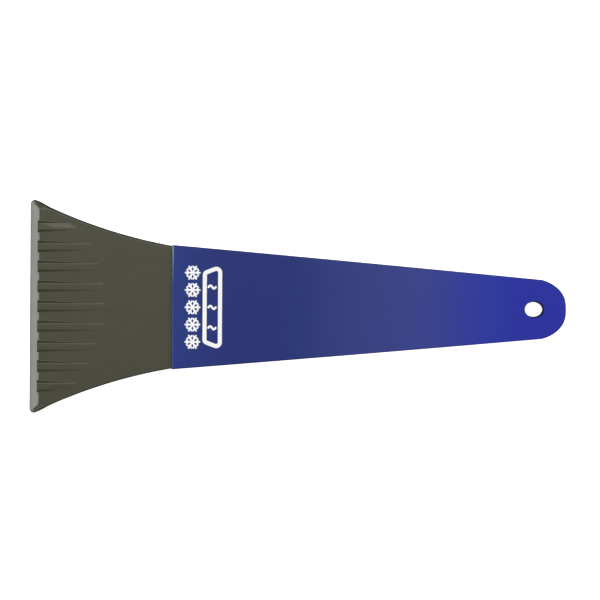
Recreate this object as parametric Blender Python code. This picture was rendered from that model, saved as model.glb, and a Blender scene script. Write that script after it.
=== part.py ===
"""Windshield ice scraper: a flared plastic head whose tang is held between the two covers of a hollow
tapered handle by four self-tapping screws.

It lies on its back. X runs along it from the scraping edge at -X to the hang hole at +X, Y runs across
it, and Z points up, out of the ribbed front face. The origin is at the centre of its base. s is the
distance from the scraping edge, and depth is the distance from the plane where the two covers part.
"""

import math

import bmesh
import bpy
from mathutils import Vector

MM = 0.001

# Whole object
LENGTH = 277.0 * MM
GAP = 0.3 * MM  # between neighbouring pieces

# Scraper head
HEAD_LENGTH = 74.1 * MM  # scraping edge to handle
HEAD_JOINT_HALF = 31.6 * MM  # half width where it meets the handle
FLANK_RADIUS = 265.0 * MM
FLANK_CENTRE_S = 120.0 * MM
CORNER_RADIUS = 2.1 * MM
EDGE_THICKNESS = 0.6 * MM
BEVEL_WIDTH = 5.1 * MM
FLAT_THICKNESS = 3.4 * MM  # plate at the inner line of the bevel
CORNER_CHAMFER = 2.9 * MM  # the flank's chamfer at the corners of the edge, measured across
RIM_CHAMFER = 1.2 * MM  # the same from RIM_START_S on
RIM_DROP = 1.5 * MM
RIM_START_S = 13.0 * MM
HEAD_BASE_Z = 2.5 * MM  # underside of the head where it meets the handle
HEAD_TOP_Z = 8.5 * MM

# Wedge ribs on the head
RIB_COUNT = 9
RIB_PITCH = 10.33 * MM
RIB_FRONT_S = 4.7 * MM
RIB_HEIGHT = 1.4 * MM
RIB_TOP_HALF = 1.75 * MM
RIB_END_S = 40.8 * MM  # the middle rib's far end
RIB_END_FALL = 9.68  # per metre: how much sooner a rib ends, for its y squared
RIB_SIDE_DRAFT = 0.6
RIB_FRONT_DRAFT = 0.3
RIB_ROOT = 0.8 * MM

# Tang
TANG_LENGTH = 60.0 * MM
TANG_THICKNESS = 5.0 * MM
TANG_SIDE_PLAY = 0.5 * MM
TANG_CORNER = 7.0 * MM
TANG_HOLE_RADIUS = 5.0 * MM

# Handle covers
HANDLE_THICKNESS = 11.0 * MM
HANDLE_MOUTH_HALF = 32.1 * MM
HANDLE_TIP_HALF = 14.1 * MM  # where the straight sides would reach the end
HANDLE_SIDE_BOW = 0.2 * MM
HANDLE_END_LENGTH = 13.0 * MM
HANDLE_END_POWERS = (1.6, 2.7)  # of the superellipse that rounds the end, along it and across it
HANDLE_EDGE_RADIUS = 0.8 * MM
WALL = 2.0 * MM
MOUTH_WALL = 3.0 * MM
LIP_THICKNESS = 0.7 * MM
LIP_HEIGHT = 1.4 * MM
RIB_WALL = 1.4 * MM
PAD_LENGTH = 4.0 * MM
PAD_PLACES = (10.0 * MM, 44.0 * MM)  # from the handle's mouth, as are the next four
CROSS_RIB_PLACES = (62.0 * MM, 100.0 * MM, 135.0 * MM, 163.0 * MM)
SCREW_PLACES = ((24.0 * MM, 17.0 * MM), (24.0 * MM, -17.0 * MM), (100.0 * MM, 0.0), (163.0 * MM, 0.0))
HANG_HOLE_PLACE = 186.4 * MM
HANG_HOLE_HALF = (4.7 * MM, 4.15 * MM)
COLLAR_WALL = 2.2 * MM

# Screws and their posts
BACK_POST_RADIUS = 4.6 * MM
FRONT_POST_RADIUS = 3.4 * MM
SCREW_BORE_RADIUS = 1.8 * MM
COUNTERBORE_RADIUS = 3.3 * MM
COUNTERBORE_DEPTH = 2.6 * MM
SCREW_HEAD_RADIUS = 2.9 * MM
SCREW_HEAD_HEIGHT = 1.7 * MM
SCREW_HEAD_DOME = ((0.7, 1.0), (0.9, 0.85), (1.0, 0.5))  # parts of the head's radius and of its height
SCREW_SHANK_RADIUS = 1.45 * MM
SCREW_POINT_RADIUS = 0.45 * MM
SCREW_LENGTH = 6.6 * MM
SCREW_POINT = 1.6 * MM
RECESS_HALF_LENGTH = 1.5 * MM
RECESS_HALF_WIDTH = 0.35 * MM
RECESS_DEPTHS = (0.9 * MM, 0.88 * MM)  # of its two blades, which keep their floors apart

# Worked out from the above
EDGE_X = -LENGTH / 2
MOUTH_X = EDGE_X + HEAD_LENGTH
END_X = LENGTH / 2
PARTING_Z = HANDLE_THICKNESS / 2
FLANK_CENTRE_Y = HEAD_JOINT_HALF + math.sqrt(FLANK_RADIUS**2 - (HEAD_LENGTH - FLANK_CENTRE_S) ** 2)
HEAD_FLOOR_SLOPE = HEAD_BASE_Z / HEAD_LENGTH
HEAD_TOP_SLOPE = (HEAD_TOP_Z - FLAT_THICKNESS - HEAD_FLOOR_SLOPE * BEVEL_WIDTH) / (HEAD_LENGTH - BEVEL_WIDTH)
HANDLE_TAPER = (HANDLE_MOUTH_HALF - HANDLE_TIP_HALF) / (END_X - MOUTH_X)
INNER_DEPTH = PARTING_Z - WALL
SHARP_ANGLE = math.radians(30)
PAST = 1.0 * MM  # how far a cutter runs past what it cuts
INTO_WALL_DEPTH = INNER_DEPTH + PAST / 2  # where the mouldings end, inside the wall that they stand on
BLIND_BORE_DEPTH = INNER_DEPTH + WALL / 4  # of the screw bores in the front cover
ROUND_STEPS = 24
FINE_ROUND_STEPS = 32
SCREW_ROUND_STEPS = 20
BORE_STEPS = 16
CORNER_STEPS = 4
EDGE_ROUNDING_STEPS = 3
CAVITY_X = MOUTH_X + MOUTH_WALL
REBATE_X = CAVITY_X + PAST
LIP_X = REBATE_X + PAST
LIP_INSET = WALL - LIP_THICKNESS


# ---------------------------------------------------------------- outlines


def inset(points, distance, closed=True):
    """The outline moved inwards; its points run anticlockwise. The ends of an open one move square to it."""
    moved = []
    count = len(points)
    for i, point in enumerate(points):
        before = points[i - 1] if closed or i > 0 else None
        after = points[(i + 1) % count] if closed or i < count - 1 else None
        normals = []
        for start, stop in ((before, point), (point, after)):
            if start is not None and stop is not None:
                along = (Vector(stop) - Vector(start)).normalized()
                normals.append(Vector((-along.y, along.x)))
        inward = sum(normals, Vector((0.0, 0.0))).normalized()
        reach = distance / inward.dot(normals[0])
        moved.append(tuple(Vector(point) + inward * reach))
    return moved


def ellipse(x, y, half_x, half_y, steps):
    turns = [2 * math.pi * i / steps for i in range(steps)]
    return [(x + half_x * math.cos(t), y + half_y * math.sin(t)) for t in turns]


def rectangle(x_low, x_high, half_y, y=0.0):
    return [(x_low, y - half_y), (x_high, y - half_y), (x_high, y + half_y), (x_low, y + half_y)]


def flank_half(s):
    """Half the head's width at s, on its hollow flank."""
    return FLANK_CENTRE_Y - math.sqrt(FLANK_RADIUS**2 - (s - FLANK_CENTRE_S) ** 2)


def flank_lean(s):
    """The flank's angle to the scraper's length at s."""
    return math.asin((FLANK_CENTRE_S - s) / FLANK_RADIUS)


def handle_half(x):
    """Half the handle's width at x, with the rounded end."""
    along = (x - MOUTH_X) / (END_X - MOUTH_X)
    half = HANDLE_TIP_HALF + HANDLE_TAPER * (END_X - x) + 4 * HANDLE_SIDE_BOW * along * (1 - along)
    into_end = max(0.0, 1 - (END_X - x) / HANDLE_END_LENGTH)
    along_power, across_power = HANDLE_END_POWERS
    return half * max(0.0, 1 - into_end**along_power) ** (1 / across_power)


def handle_side(x_start, side_steps=5, end_steps=9):
    """The handle's outline from x_start on its -Y side, round the end, to x_start on its +Y side."""
    end_start = END_X - HANDLE_END_LENGTH
    lower = [x_start + (end_start - x_start) * i / side_steps for i in range(side_steps)]
    for i in range(end_steps):
        angle = math.pi / 2 * i / end_steps
        lower.append(end_start + HANDLE_END_LENGTH * math.sin(angle) ** (2 / HANDLE_END_POWERS[0]))
    side = [(x, -handle_half(x)) for x in lower]
    return side + [(END_X, 0.0)] + [(x, -y) for x, y in reversed(side)]


# ---------------------------------------------------------------- solids


def add_loops(bm, loops):
    """Adds a closed solid through equal loops of 3-D points, with a flat cap at each end."""
    rings = [[bm.verts.new(point) for point in loop] for loop in loops]
    count = len(rings[0])
    for low, high in zip(rings, rings[1:]):
        for i in range(count):
            j = (i + 1) % count
            bm.faces.new((low[i], low[j], high[j], high[i]))
    bm.faces.new(list(reversed(rings[0])))
    bm.faces.new(rings[-1])


def add_prism(bm, outline, z_low, z_high):
    add_loops(bm, [[(x, y, z) for x, y in outline] for z in (z_low, z_high)])


def finish_mesh(bm, name):
    """Merges doubled points, turns every face outwards and returns the mesh."""
    bmesh.ops.remove_doubles(bm, verts=bm.verts, dist=1e-6)
    bmesh.ops.dissolve_degenerate(bm, edges=bm.edges, dist=1e-7)
    bmesh.ops.recalc_face_normals(bm, faces=bm.faces)
    mesh = bpy.data.meshes.new(name)
    bm.to_mesh(mesh)
    bm.free()
    return mesh


def add_object(name, bm, material=None):
    """A part, or a tool that shapes one when it has no material."""
    part = bpy.data.objects.new(name, finish_mesh(bm, name))
    bpy.context.scene.collection.objects.link(part)
    if material is None:
        part.hide_render = True
        part.display_type = "WIRE"
    else:
        part.data.materials.append(material)
    return part


def combine(part, tool, operation):
    """Joins the tool to the part (UNION) or cuts it away (DIFFERENCE). The tool's own solids may overlap."""
    modifier = part.modifiers.new(tool.name, "BOOLEAN")
    modifier.operation = operation
    modifier.object = tool
    modifier.solver = "EXACT"
    modifier.use_self = True


def settle(part):
    """Applies the part's Booleans and removes their tools, then shades its round faces smooth."""
    tools = [modifier.object for modifier in part.modifiers]
    evaluated = part.evaluated_get(bpy.context.evaluated_depsgraph_get())
    part.data = bpy.data.meshes.new_from_object(evaluated)
    part.modifiers.clear()
    for tool in tools:
        bpy.data.objects.remove(tool, do_unlink=True)
    part.data.shade_smooth()
    part.data.set_sharp_from_angle(angle=SHARP_ANGLE)


def add_material(name, colour, roughness, metallic=0.0):
    material = bpy.data.materials.new(name)
    material.use_nodes = True
    shader = material.node_tree.nodes["Principled BSDF"]
    shader.inputs["Base Color"].default_value = (*colour, 1.0)
    shader.inputs["Roughness"].default_value = roughness
    shader.inputs["Metallic"].default_value = metallic
    material.diffuse_color = (*colour, 1.0)
    return material


# ---------------------------------------------------------------- scraper head


def floor_z(s):
    return HEAD_FLOOR_SLOPE * s


def top_z(s):
    return FLAT_THICKNESS + HEAD_FLOOR_SLOPE * BEVEL_WIDTH + HEAD_TOP_SLOPE * (s - BEVEL_WIDTH)


def corner_fade(s):
    """1 at the corners of the scraping edge, falling to 0 where the flank's chamfer is at its narrowest."""
    return min(1.0, max(0.0, (RIM_START_S - s) / (RIM_START_S - BEVEL_WIDTH)))


def corner_points(steps=5):
    """The rounded corner of the scraping edge on the +Y side, from the flank to the edge, as (s, y)."""
    lean = flank_lean(CORNER_RADIUS)
    centre_y = flank_half(CORNER_RADIUS) - CORNER_RADIUS / math.cos(lean)
    start = math.pi / 2 - lean
    turns = [start + (math.pi - start) * i / steps for i in range(steps + 1)]
    return [(CORNER_RADIUS * (1 + math.cos(t)), centre_y + CORNER_RADIUS * math.sin(t)) for t in turns]


def flank_places(far_steps=7, near_steps=3):
    """Values of s along the flank, from the handle to just behind the rounded corner."""
    joint_s = HEAD_LENGTH - GAP
    far = [joint_s + (RIM_START_S - joint_s) * i / far_steps for i in range(far_steps)]
    near = [RIM_START_S + (BEVEL_WIDTH - RIM_START_S) * i / near_steps for i in range(near_steps)]
    return far + near


def half_head_loops():
    """Matching (s, y, z) points on the +Y side for the floor, the rim and the top, from handle to edge."""
    floor, rim, top = [], [], []
    for s in flank_places():
        fade = corner_fade(s)
        chamfer = RIM_CHAMFER + (CORNER_CHAMFER - RIM_CHAMFER) * fade
        drop = RIM_DROP + (FLAT_THICKNESS - EDGE_THICKNESS - RIM_DROP) * fade
        floor.append((s, flank_half(s), floor_z(s)))
        rim.append((s, flank_half(s), top_z(s) - drop))
        top.append((s, flank_half(s) - chamfer, top_z(s)))
    inner_corner = (BEVEL_WIDTH, flank_half(BEVEL_WIDTH) - CORNER_CHAMFER, top_z(BEVEL_WIDTH))
    for s, y in corner_points():
        floor.append((s, y, floor_z(s)))
        rim.append((s, y, floor_z(s) + EDGE_THICKNESS))
        top.append(inner_corner)
    return floor, rim, top


def head_loops():
    """The floor, rim and top loops of the whole plate, in world space."""
    loops = []
    for half in half_head_loops():
        mirrored = [(s, -y, z) for s, y, z in reversed(half)]
        loops.append([(EDGE_X + s, y, z) for s, y, z in half + mirrored])
    return loops


def add_rib(bm, y):
    """A wedge with drafted walls, whose height falls to nothing at its far end. It is sunk into the plate."""
    end_s = RIB_END_S - RIB_END_FALL * y * y
    fall = RIB_HEIGHT / (end_s - RIB_FRONT_S)
    past_s = end_s + RIB_ROOT / 2 / fall
    sections = []
    for s, draft in ((RIB_FRONT_S, RIB_FRONT_DRAFT), (past_s, 0.0)):
        height = RIB_HEIGHT - fall * (s - RIB_FRONT_S)
        foot = height + RIB_ROOT
        foot_half = RIB_TOP_HALF + RIB_SIDE_DRAFT * foot
        foot_s = s - draft * foot
        corners = (
            (foot_s, y - foot_half, top_z(foot_s) - RIB_ROOT),
            (s, y - RIB_TOP_HALF, top_z(s) + height),
            (s, y + RIB_TOP_HALF, top_z(s) + height),
            (foot_s, y + foot_half, top_z(foot_s) - RIB_ROOT),
        )
        sections.append([(EDGE_X + a, b, c) for a, b, c in corners])
    add_loops(bm, sections)


def tang_outline():
    """Anticlockwise, from inside the plate to the rounded far corners."""
    root_x = MOUTH_X - GAP - BEVEL_WIDTH
    tip_x = MOUTH_X + TANG_LENGTH
    root_half = handle_half(MOUTH_X) - WALL - TANG_SIDE_PLAY
    tip_half = handle_half(tip_x) - WALL - TANG_SIDE_PLAY
    lower = [(root_x, -root_half)]
    for i in range(CORNER_STEPS + 1):
        angle = math.pi / 2 * i / CORNER_STEPS
        x = tip_x - TANG_CORNER * (1 - math.sin(angle))
        lower.append((x, -tip_half + TANG_CORNER * (1 - math.cos(angle))))
    return lower + [(x, -y) for x, y in reversed(lower)]


def make_head(material):
    plate = bmesh.new()
    add_loops(plate, head_loops())
    head = add_object("scraper_head", plate, material)

    additions = bmesh.new()
    for i in range(RIB_COUNT):
        add_rib(additions, (i - (RIB_COUNT - 1) / 2) * RIB_PITCH)
    add_prism(additions, tang_outline(), PARTING_Z - TANG_THICKNESS / 2, PARTING_Z + TANG_THICKNESS / 2)
    combine(head, add_object("head_ribs_and_tang", additions), "UNION")

    holes = bmesh.new()
    for along, y in SCREW_PLACES:
        if along < TANG_LENGTH:
            circle = ellipse(MOUTH_X + along, y, TANG_HOLE_RADIUS, TANG_HOLE_RADIUS, ROUND_STEPS)
            add_prism(holes, circle, PARTING_Z - TANG_THICKNESS, PARTING_Z + TANG_THICKNESS)
    combine(head, add_object("tang_holes", holes), "DIFFERENCE")
    settle(head)


# ---------------------------------------------------------------- handle covers


class Cover:
    """One cover of the handle. side is 1 for the front one and -1 for the back one."""

    def __init__(self, name, side, material):
        self.name = name
        self.side = side
        self.material = material

    def z(self, depth):
        return PARTING_Z + self.side * depth

    def prism(self, bm, outline, depth_low, depth_high):
        add_prism(bm, outline, self.z(depth_low), self.z(depth_high))

    def loft(self, levels, suffix="", material=None):
        """A closed solid through (outline, depth) levels whose outlines have equally many points."""
        bm = bmesh.new()
        add_loops(bm, [[(x, y, self.z(depth)) for x, y in outline] for outline, depth in levels])
        return add_object(self.name + suffix, bm, material)

    def shell(self, lip):
        """The slab with rounded outer edges, before it is hollowed, with the lip's step on one cover."""
        outline = handle_side(MOUTH_X)
        levels = [(outline, GAP / 2)]
        for i in range(EDGE_ROUNDING_STEPS + 1):
            angle = math.pi / 2 * i / EDGE_ROUNDING_STEPS
            rounding = HANDLE_EDGE_RADIUS * (1 - math.cos(angle))
            depth = PARTING_Z - HANDLE_EDGE_RADIUS * (1 - math.sin(angle))
            levels.append((inset(outline, rounding), depth))
        if lip:
            stepped = inset(handle_side(LIP_X), LIP_INSET, closed=False)
            levels = [(stepped, -LIP_HEIGHT), (stepped, GAP / 2)] + levels
        return self.loft(levels, material=self.material)

    def cavity(self, rebate):
        """The hollow inside the walls, which is wider near the rim of the cover that takes the lip."""
        inner = inset(handle_side(CAVITY_X), WALL, closed=False)
        levels = [(inner, -LIP_HEIGHT - PAST), (inner, INNER_DEPTH)]
        if rebate:
            wide = inset(handle_side(REBATE_X), LIP_INSET - GAP, closed=False)
            levels = [
                (wide, -PAST),
                (wide, LIP_HEIGHT + GAP),
                (inner, LIP_HEIGHT + GAP),
                (inner, INNER_DEPTH),
            ]
        return self.loft(levels, "_cavity")

    def mouldings(self, post_radius, rib_depth):
        """Posts, collar, clamp pads and stiffening ribs, each run a little into the wall it stands on."""
        bm = bmesh.new()
        for along, y in SCREW_PLACES:
            post = ellipse(MOUTH_X + along, y, post_radius, post_radius, ROUND_STEPS)
            self.prism(bm, post, GAP / 2, INTO_WALL_DEPTH)
        half_x, half_y = HANG_HOLE_HALF
        hole_x = MOUTH_X + HANG_HOLE_PLACE
        collar = ellipse(hole_x, 0.0, half_x + COLLAR_WALL, half_y + COLLAR_WALL, FINE_ROUND_STEPS)
        self.prism(bm, collar, GAP / 2, INTO_WALL_DEPTH)
        for along in PAD_PLACES:
            x_low = MOUTH_X + along - PAD_LENGTH / 2
            pad = rectangle(x_low, x_low + PAD_LENGTH, handle_half(x_low) - WALL / 2 - PAST)
            self.prism(bm, pad, TANG_THICKNESS / 2 + GAP, INTO_WALL_DEPTH)
        for along in CROSS_RIB_PLACES:
            x_low = MOUTH_X + along - RIB_WALL / 2
            rib = rectangle(x_low, x_low + RIB_WALL, handle_half(x_low) - WALL / 2)
            self.prism(bm, rib, rib_depth, INTO_WALL_DEPTH)
        spine = rectangle(MOUTH_X + CROSS_RIB_PLACES[0], hole_x - half_x - COLLAR_WALL / 2, RIB_WALL / 2)
        self.prism(bm, spine, rib_depth + GAP, INTO_WALL_DEPTH)
        return add_object(self.name + "_mouldings", bm)

    def openings(self, bore_depth, counterbore):
        """The slot for the tang, the screw bores and the hang hole."""
        bm = bmesh.new()
        slot_half = handle_half(MOUTH_X) - WALL - TANG_SIDE_PLAY + GAP
        slot = rectangle(MOUTH_X - PAST, CAVITY_X + PAST, slot_half)
        self.prism(bm, slot, -LIP_HEIGHT - PAST, TANG_THICKNESS / 2 + GAP)
        for along, y in SCREW_PLACES:
            bore = ellipse(MOUTH_X + along, y, SCREW_BORE_RADIUS, SCREW_BORE_RADIUS, BORE_STEPS)
            self.prism(bm, bore, -PAST, bore_depth)
            if counterbore:
                mouth = ellipse(MOUTH_X + along, y, COUNTERBORE_RADIUS, COUNTERBORE_RADIUS, ROUND_STEPS)
                self.prism(bm, mouth, PARTING_Z - COUNTERBORE_DEPTH, PARTING_Z + PAST)
        hole = ellipse(MOUTH_X + HANG_HOLE_PLACE, 0.0, *HANG_HOLE_HALF, FINE_ROUND_STEPS)
        self.prism(bm, hole, -PAST, PARTING_Z + PAST)
        return add_object(self.name + "_openings", bm)


def make_front_cover(material):
    cover = Cover("handle_front_cover", 1, material)
    part = cover.shell(lip=False)
    combine(part, cover.cavity(rebate=True), "DIFFERENCE")
    combine(part, cover.mouldings(FRONT_POST_RADIUS, LIP_HEIGHT + GAP), "UNION")
    combine(part, cover.openings(BLIND_BORE_DEPTH, counterbore=False), "DIFFERENCE")
    settle(part)


def make_back_cover(material):
    cover = Cover("handle_back_cover", -1, material)
    part = cover.shell(lip=True)
    combine(part, cover.cavity(rebate=False), "DIFFERENCE")
    combine(part, cover.mouldings(BACK_POST_RADIUS, GAP), "UNION")
    combine(part, cover.openings(PARTING_Z, counterbore=True), "DIFFERENCE")
    settle(part)


# ---------------------------------------------------------------- screws


def make_screw(name, x, y, material):
    """A pan-head self-tapping screw that points up, its head in the back cover's counterbore."""
    seat_z = COUNTERBORE_DEPTH - GAP
    face_z = seat_z - SCREW_HEAD_HEIGHT
    levels = [(r * SCREW_HEAD_RADIUS, seat_z - h * SCREW_HEAD_HEIGHT) for r, h in SCREW_HEAD_DOME]
    levels += [
        (SCREW_HEAD_RADIUS, seat_z),
        (SCREW_SHANK_RADIUS, seat_z),
        (SCREW_SHANK_RADIUS, seat_z + SCREW_LENGTH - SCREW_POINT),
        (SCREW_POINT_RADIUS, seat_z + SCREW_LENGTH),
    ]
    rings = [(ellipse(x, y, radius, radius, SCREW_ROUND_STEPS), z) for radius, z in levels]
    bm = bmesh.new()
    add_loops(bm, [[(a, b, z) for a, b in ring] for ring, z in rings])
    screw = add_object(name, bm, material)

    recess = bmesh.new()
    along_depth, across_depth = RECESS_DEPTHS
    along = rectangle(x - RECESS_HALF_LENGTH, x + RECESS_HALF_LENGTH, RECESS_HALF_WIDTH, y)
    across = rectangle(x - RECESS_HALF_WIDTH, x + RECESS_HALF_WIDTH, RECESS_HALF_LENGTH, y)
    add_prism(recess, along, face_z - PAST, face_z + along_depth)
    add_prism(recess, across, face_z - PAST, face_z + across_depth)
    combine(screw, add_object(name + "_recess", recess), "DIFFERENCE")
    settle(screw)


def main():
    for old in list(bpy.data.objects):
        bpy.data.objects.remove(old, do_unlink=True)

    smoke = add_material("smoke_plastic", (0.078, 0.078, 0.056), 0.32)
    blue = add_material("blue_plastic", (0.031, 0.038, 0.27), 0.38)
    dark_blue = add_material("dark_blue_plastic", (0.026, 0.032, 0.2), 0.42)
    steel = add_material("zinc_plated_steel", (0.55, 0.56, 0.57), 0.35, 1.0)

    make_head(smoke)
    make_front_cover(blue)
    make_back_cover(dark_blue)
    for number, (along, y) in enumerate(SCREW_PLACES, start=1):
        make_screw(f"handle_screw_{number}", MOUTH_X + along, y, steel)


main()
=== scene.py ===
"""The looks of the windshield ice scraper: fine meshes over the CAD frame, materials, light and camera.

Lengths are in metres, in the CAD's frame: X runs from the scraping edge to the hang hole, Y across, and Z up
out of the ribbed face. s is the distance from the scraping edge, and depth the distance from the plane where
the handle's two covers part.
"""

import math

import bmesh
import bpy
import numpy as np
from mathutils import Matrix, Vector


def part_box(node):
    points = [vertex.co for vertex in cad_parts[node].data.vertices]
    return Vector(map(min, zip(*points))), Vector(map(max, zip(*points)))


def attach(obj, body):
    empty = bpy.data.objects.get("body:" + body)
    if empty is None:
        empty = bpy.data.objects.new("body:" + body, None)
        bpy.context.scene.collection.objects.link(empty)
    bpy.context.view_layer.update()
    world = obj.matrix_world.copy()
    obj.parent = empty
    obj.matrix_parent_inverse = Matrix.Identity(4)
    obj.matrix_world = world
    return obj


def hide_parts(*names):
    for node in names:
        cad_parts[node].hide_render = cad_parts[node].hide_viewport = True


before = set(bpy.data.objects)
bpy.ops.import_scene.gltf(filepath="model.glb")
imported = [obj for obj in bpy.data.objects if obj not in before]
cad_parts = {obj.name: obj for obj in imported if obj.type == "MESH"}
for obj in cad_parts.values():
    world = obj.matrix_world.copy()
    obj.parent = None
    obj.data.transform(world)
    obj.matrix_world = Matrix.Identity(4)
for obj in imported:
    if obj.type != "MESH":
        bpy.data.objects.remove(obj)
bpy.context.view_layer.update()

MM = 0.001

# Places that the frame gives
HEAD_LOW, HEAD_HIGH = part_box("scraper_head")
FRONT_LOW, FRONT_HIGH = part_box("handle_front_cover")
SCREW_NODES = sorted(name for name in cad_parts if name.startswith("handle_screw"))
EDGE_X = HEAD_LOW.x
MOUTH_X = FRONT_LOW.x
END_X = FRONT_HIGH.x
TANG_END_X = HEAD_HIGH.x
HANDLE_TOP_Z = FRONT_HIGH.z
PARTING_Z = HANDLE_TOP_Z / 2
MOUTH_HALF = FRONT_HIGH.y
GAP = 2 * (FRONT_LOW.z - PARTING_Z)
HEAD_LENGTH = MOUTH_X - EDGE_X

# Scraper head
HEAD_JOINT_HALF = 31.6 * MM  # half its width where it meets the handle
FLANK_RADIUS = 265.0 * MM
FLANK_CENTRE_S = 120.0 * MM
FLANK_EXTRA = 0.06 * MM  # added to each flank all along
CORNER_RADIUS = 2.1 * MM
EDGE_THICKNESS = 0.6 * MM
BEVEL_WIDTH = 5.1 * MM
BEVEL_BOW = 0.09 * MM  # how far the bevel bulges at its middle
FLAT_THICKNESS = 3.4 * MM  # of the plate at the bevel's inner line
CORNER_SWELL = (5.5 * MM, 3.2 * MM, 0.4 * MM)  # where the flank swells, over what reach, and how much
MITRE_HALF = 53.8 * MM  # where the mitre between the bevel and the corner's chamfer would reach the edge
CORNER_CHAMFER = 3.4 * MM  # width of the flank's chamfer beside the bevel
CORNER_ROLL = 0.25  # share of the corner's chamfer, by width, that rolls over to the edge
CORNER_ROLL_DROP = 0.5  # share of its drop that is in that roll
RIM_CHAMFER = 1.2 * MM  # width of the flank's chamfer from RIM_START_S on
RIM_DROP = 1.5 * MM  # and its height
RIM_START_S = 13.0 * MM
HEAD_BASE_Z = 2.5 * MM  # its underside and its top where it meets the handle
HEAD_TOP_Z = 8.5 * MM
CREASE = 0.12 * MM  # how far the creases of the plate are rounded
EDGE_ROUNDING = 0.15 * MM
FLOOR_ROUNDING = 0.25 * MM

# Wedge ribs
RIBS_EACH_SIDE = 4
RIB_PITCH = 10.33 * MM
RIB_FRONT_S = 4.7 * MM
RIB_HEIGHT = 1.4 * MM
RIB_TOP_HALF = 1.7 * MM
RIB_END_S = 40.8 * MM  # the middle rib's far end
RIB_END_FALL = 9.68  # per metre: how much sooner a rib ends, for its y squared
RIB_SIDE_DRAFT = 0.8  # how far a rib's sides run out, for its height
RIB_FRONT_DRAFT = 0.3  # the same for its front
RIB_TOP_ROUNDING = 0.2 * MM
RIB_FOOT_ROUNDING = 0.3 * MM
ROUNDING_SHARES = (0.7, 0.5)  # of a rib's height, the most that its top's and its foot's rounding take
RIB_CHAMFER = 0.4 * MM  # a narrow shallow chamfer along the +Y side of a rib's top
RIB_CHAMFER_SLOPE = 0.2
FACET_SLOPE = 0.12  # of the outermost ribs' tops, which are trimmed on their outer side
FACET_FRONT_S = 6.0 * MM  # the trim starts here
FACET_FULL_S = 13.5 * MM  # and is FACET_WIDTH wide from here on
FACET_WIDTH = 2.3 * MM

# Stations of the head's grid along s
EDGE_STATIONS = (0.0, 0.08, 0.3, 0.6, 1.0)  # parts of EDGE_ROUNDING
CORNER_STEPS = 7  # of a quarter turn, the first few of which lie within the edge's stations
CORNER_FIRST_STEP = 3
BEVEL_STATIONS = [2.7 * MM, 3.3 * MM, 3.75 * MM]
FRONT_LEAD = 0.4 * MM  # how far below the plate a rib's front would be carried on
FRONT_PITCH = 0.07 * MM
CREASE_PITCH = 0.1 * MM
RIB_STATION_START = 0.3 * MM  # behind the last station of the crease
RIB_STATION_PITCH = 0.45 * MM
RIB_STATIONS = 80
REST_STATIONS = 20

# Lines of the head's grid across a rib, in millimetres unless they are parts
TOP_LINE_PART = 0.4  # of RIB_TOP_HALF
FACET_LINES = (0.22, 0.46, 0.54, 0.8, 1.05)  # from the middle of an outermost rib, in place of the top's line
CHAMFER_LINES = (0.1, 0.0, -0.1)  # beside the chamfer's inner line
CREASE_LINES = (0.2, 0.1)  # inside the edge of the top
WALL_LINE_PARTS = (0.0, 0.1, 0.26, 0.5, 0.74, 0.88, 1.0)  # down the rib's side
FOOT_LINES = (0.1, 0.2, 0.34)  # beyond its foot
RIB_RUN_OUT = 0.3 * MM  # how far past a rib's end its lines still narrow
NARROWEST_WALL = 0.3 * MM
TALLEST_RIB = 1.5  # times RIB_HEIGHT, which keeps the lines of two ribs apart
RIB_GAP_STEPS = 4
RIM_GAP_STEPS = 5

# Tang
TANG_THICKNESS = 5.0 * MM
TANG_SIDE_PLAY = 0.5 * MM
TANG_CORNER = 7.0 * MM
TANG_HOLE_RADIUS = 5.0 * MM
TANG_EDGE = 0.4 * MM

# Handle covers
HANDLE_TIP_HALF = 14.1 * MM
HANDLE_SIDE_BOW = 0.2 * MM
HANDLE_END_LENGTH = 13.0 * MM
HANDLE_END_POWERS = (1.6, 2.7)  # of the superellipse that rounds the end, along it and across it
HANDLE_SIDE_STEPS = 36
HANDLE_END_STEPS = 26
HANDLE_EDGE_RADIUS = 0.8 * MM
PARTING_EDGE = 0.2 * MM
SUPPORT = 0.12 * MM  # a narrow flat band that keeps the shading of the flat beside it flat
MOUTH_ROLL = 0.22 * MM  # how far the front face rolls down at the mouth
MOUTH_ROLL_LENGTH = 4.2 * MM
LIP_ROLL = 0.35 * MM  # how much further the very edge of the mouth is rolled, at its +Y end
LIP_ROLL_LENGTH = 0.9 * MM
LIP_ROLL_START_Y = 6.0 * MM
LIP_ROLL_FULL_Y = 24.0 * MM
LIP_CUTS = (0.12, 0.3, 0.55, 1.0)  # parts of LIP_ROLL_LENGTH where the face is cut to bend
MOUTH_CUTS = 10  # over MOUTH_ROLL_LENGTH, the first few of which lie within the lip
FIRST_MOUTH_CUT = 3
LIP_CUTS_ACROSS = 8
WALL = 2.0 * MM
MOUTH_WALL = 3.0 * MM
LIP_THICKNESS = 0.7 * MM
LIP_HEIGHT = 1.4 * MM
RIB_WALL = 1.4 * MM
PAD_LENGTH = 4.0 * MM
PAD_PLACES = (10.0 * MM, 44.0 * MM)  # from the handle's mouth, like the cross ribs
CROSS_RIB_PLACES = (62.0 * MM, 100.0 * MM, 135.0 * MM, 163.0 * MM)
HANG_HOLE_X = MOUTH_X + 186.6 * MM
HANG_HOLE_HALF = (4.95 * MM, 4.15 * MM)
HANG_HOLE_STEPS = 72
HANG_HOLE_ROUNDING = 0.35 * MM
FLARE_TURN = 0.94  # share of a quarter turn that a hole's rounded edge takes
HANG_HOLE_STEP = (0.1 * MM, 0.35 * MM)  # how much less its half sizes are in the back cover
COLLAR_WALL = 2.2 * MM
COLLAR_STEPS = 64
PAST = 1.0 * MM  # how far a cutter runs past what it cuts
INNER_DEPTH = PARTING_Z - WALL
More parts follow.
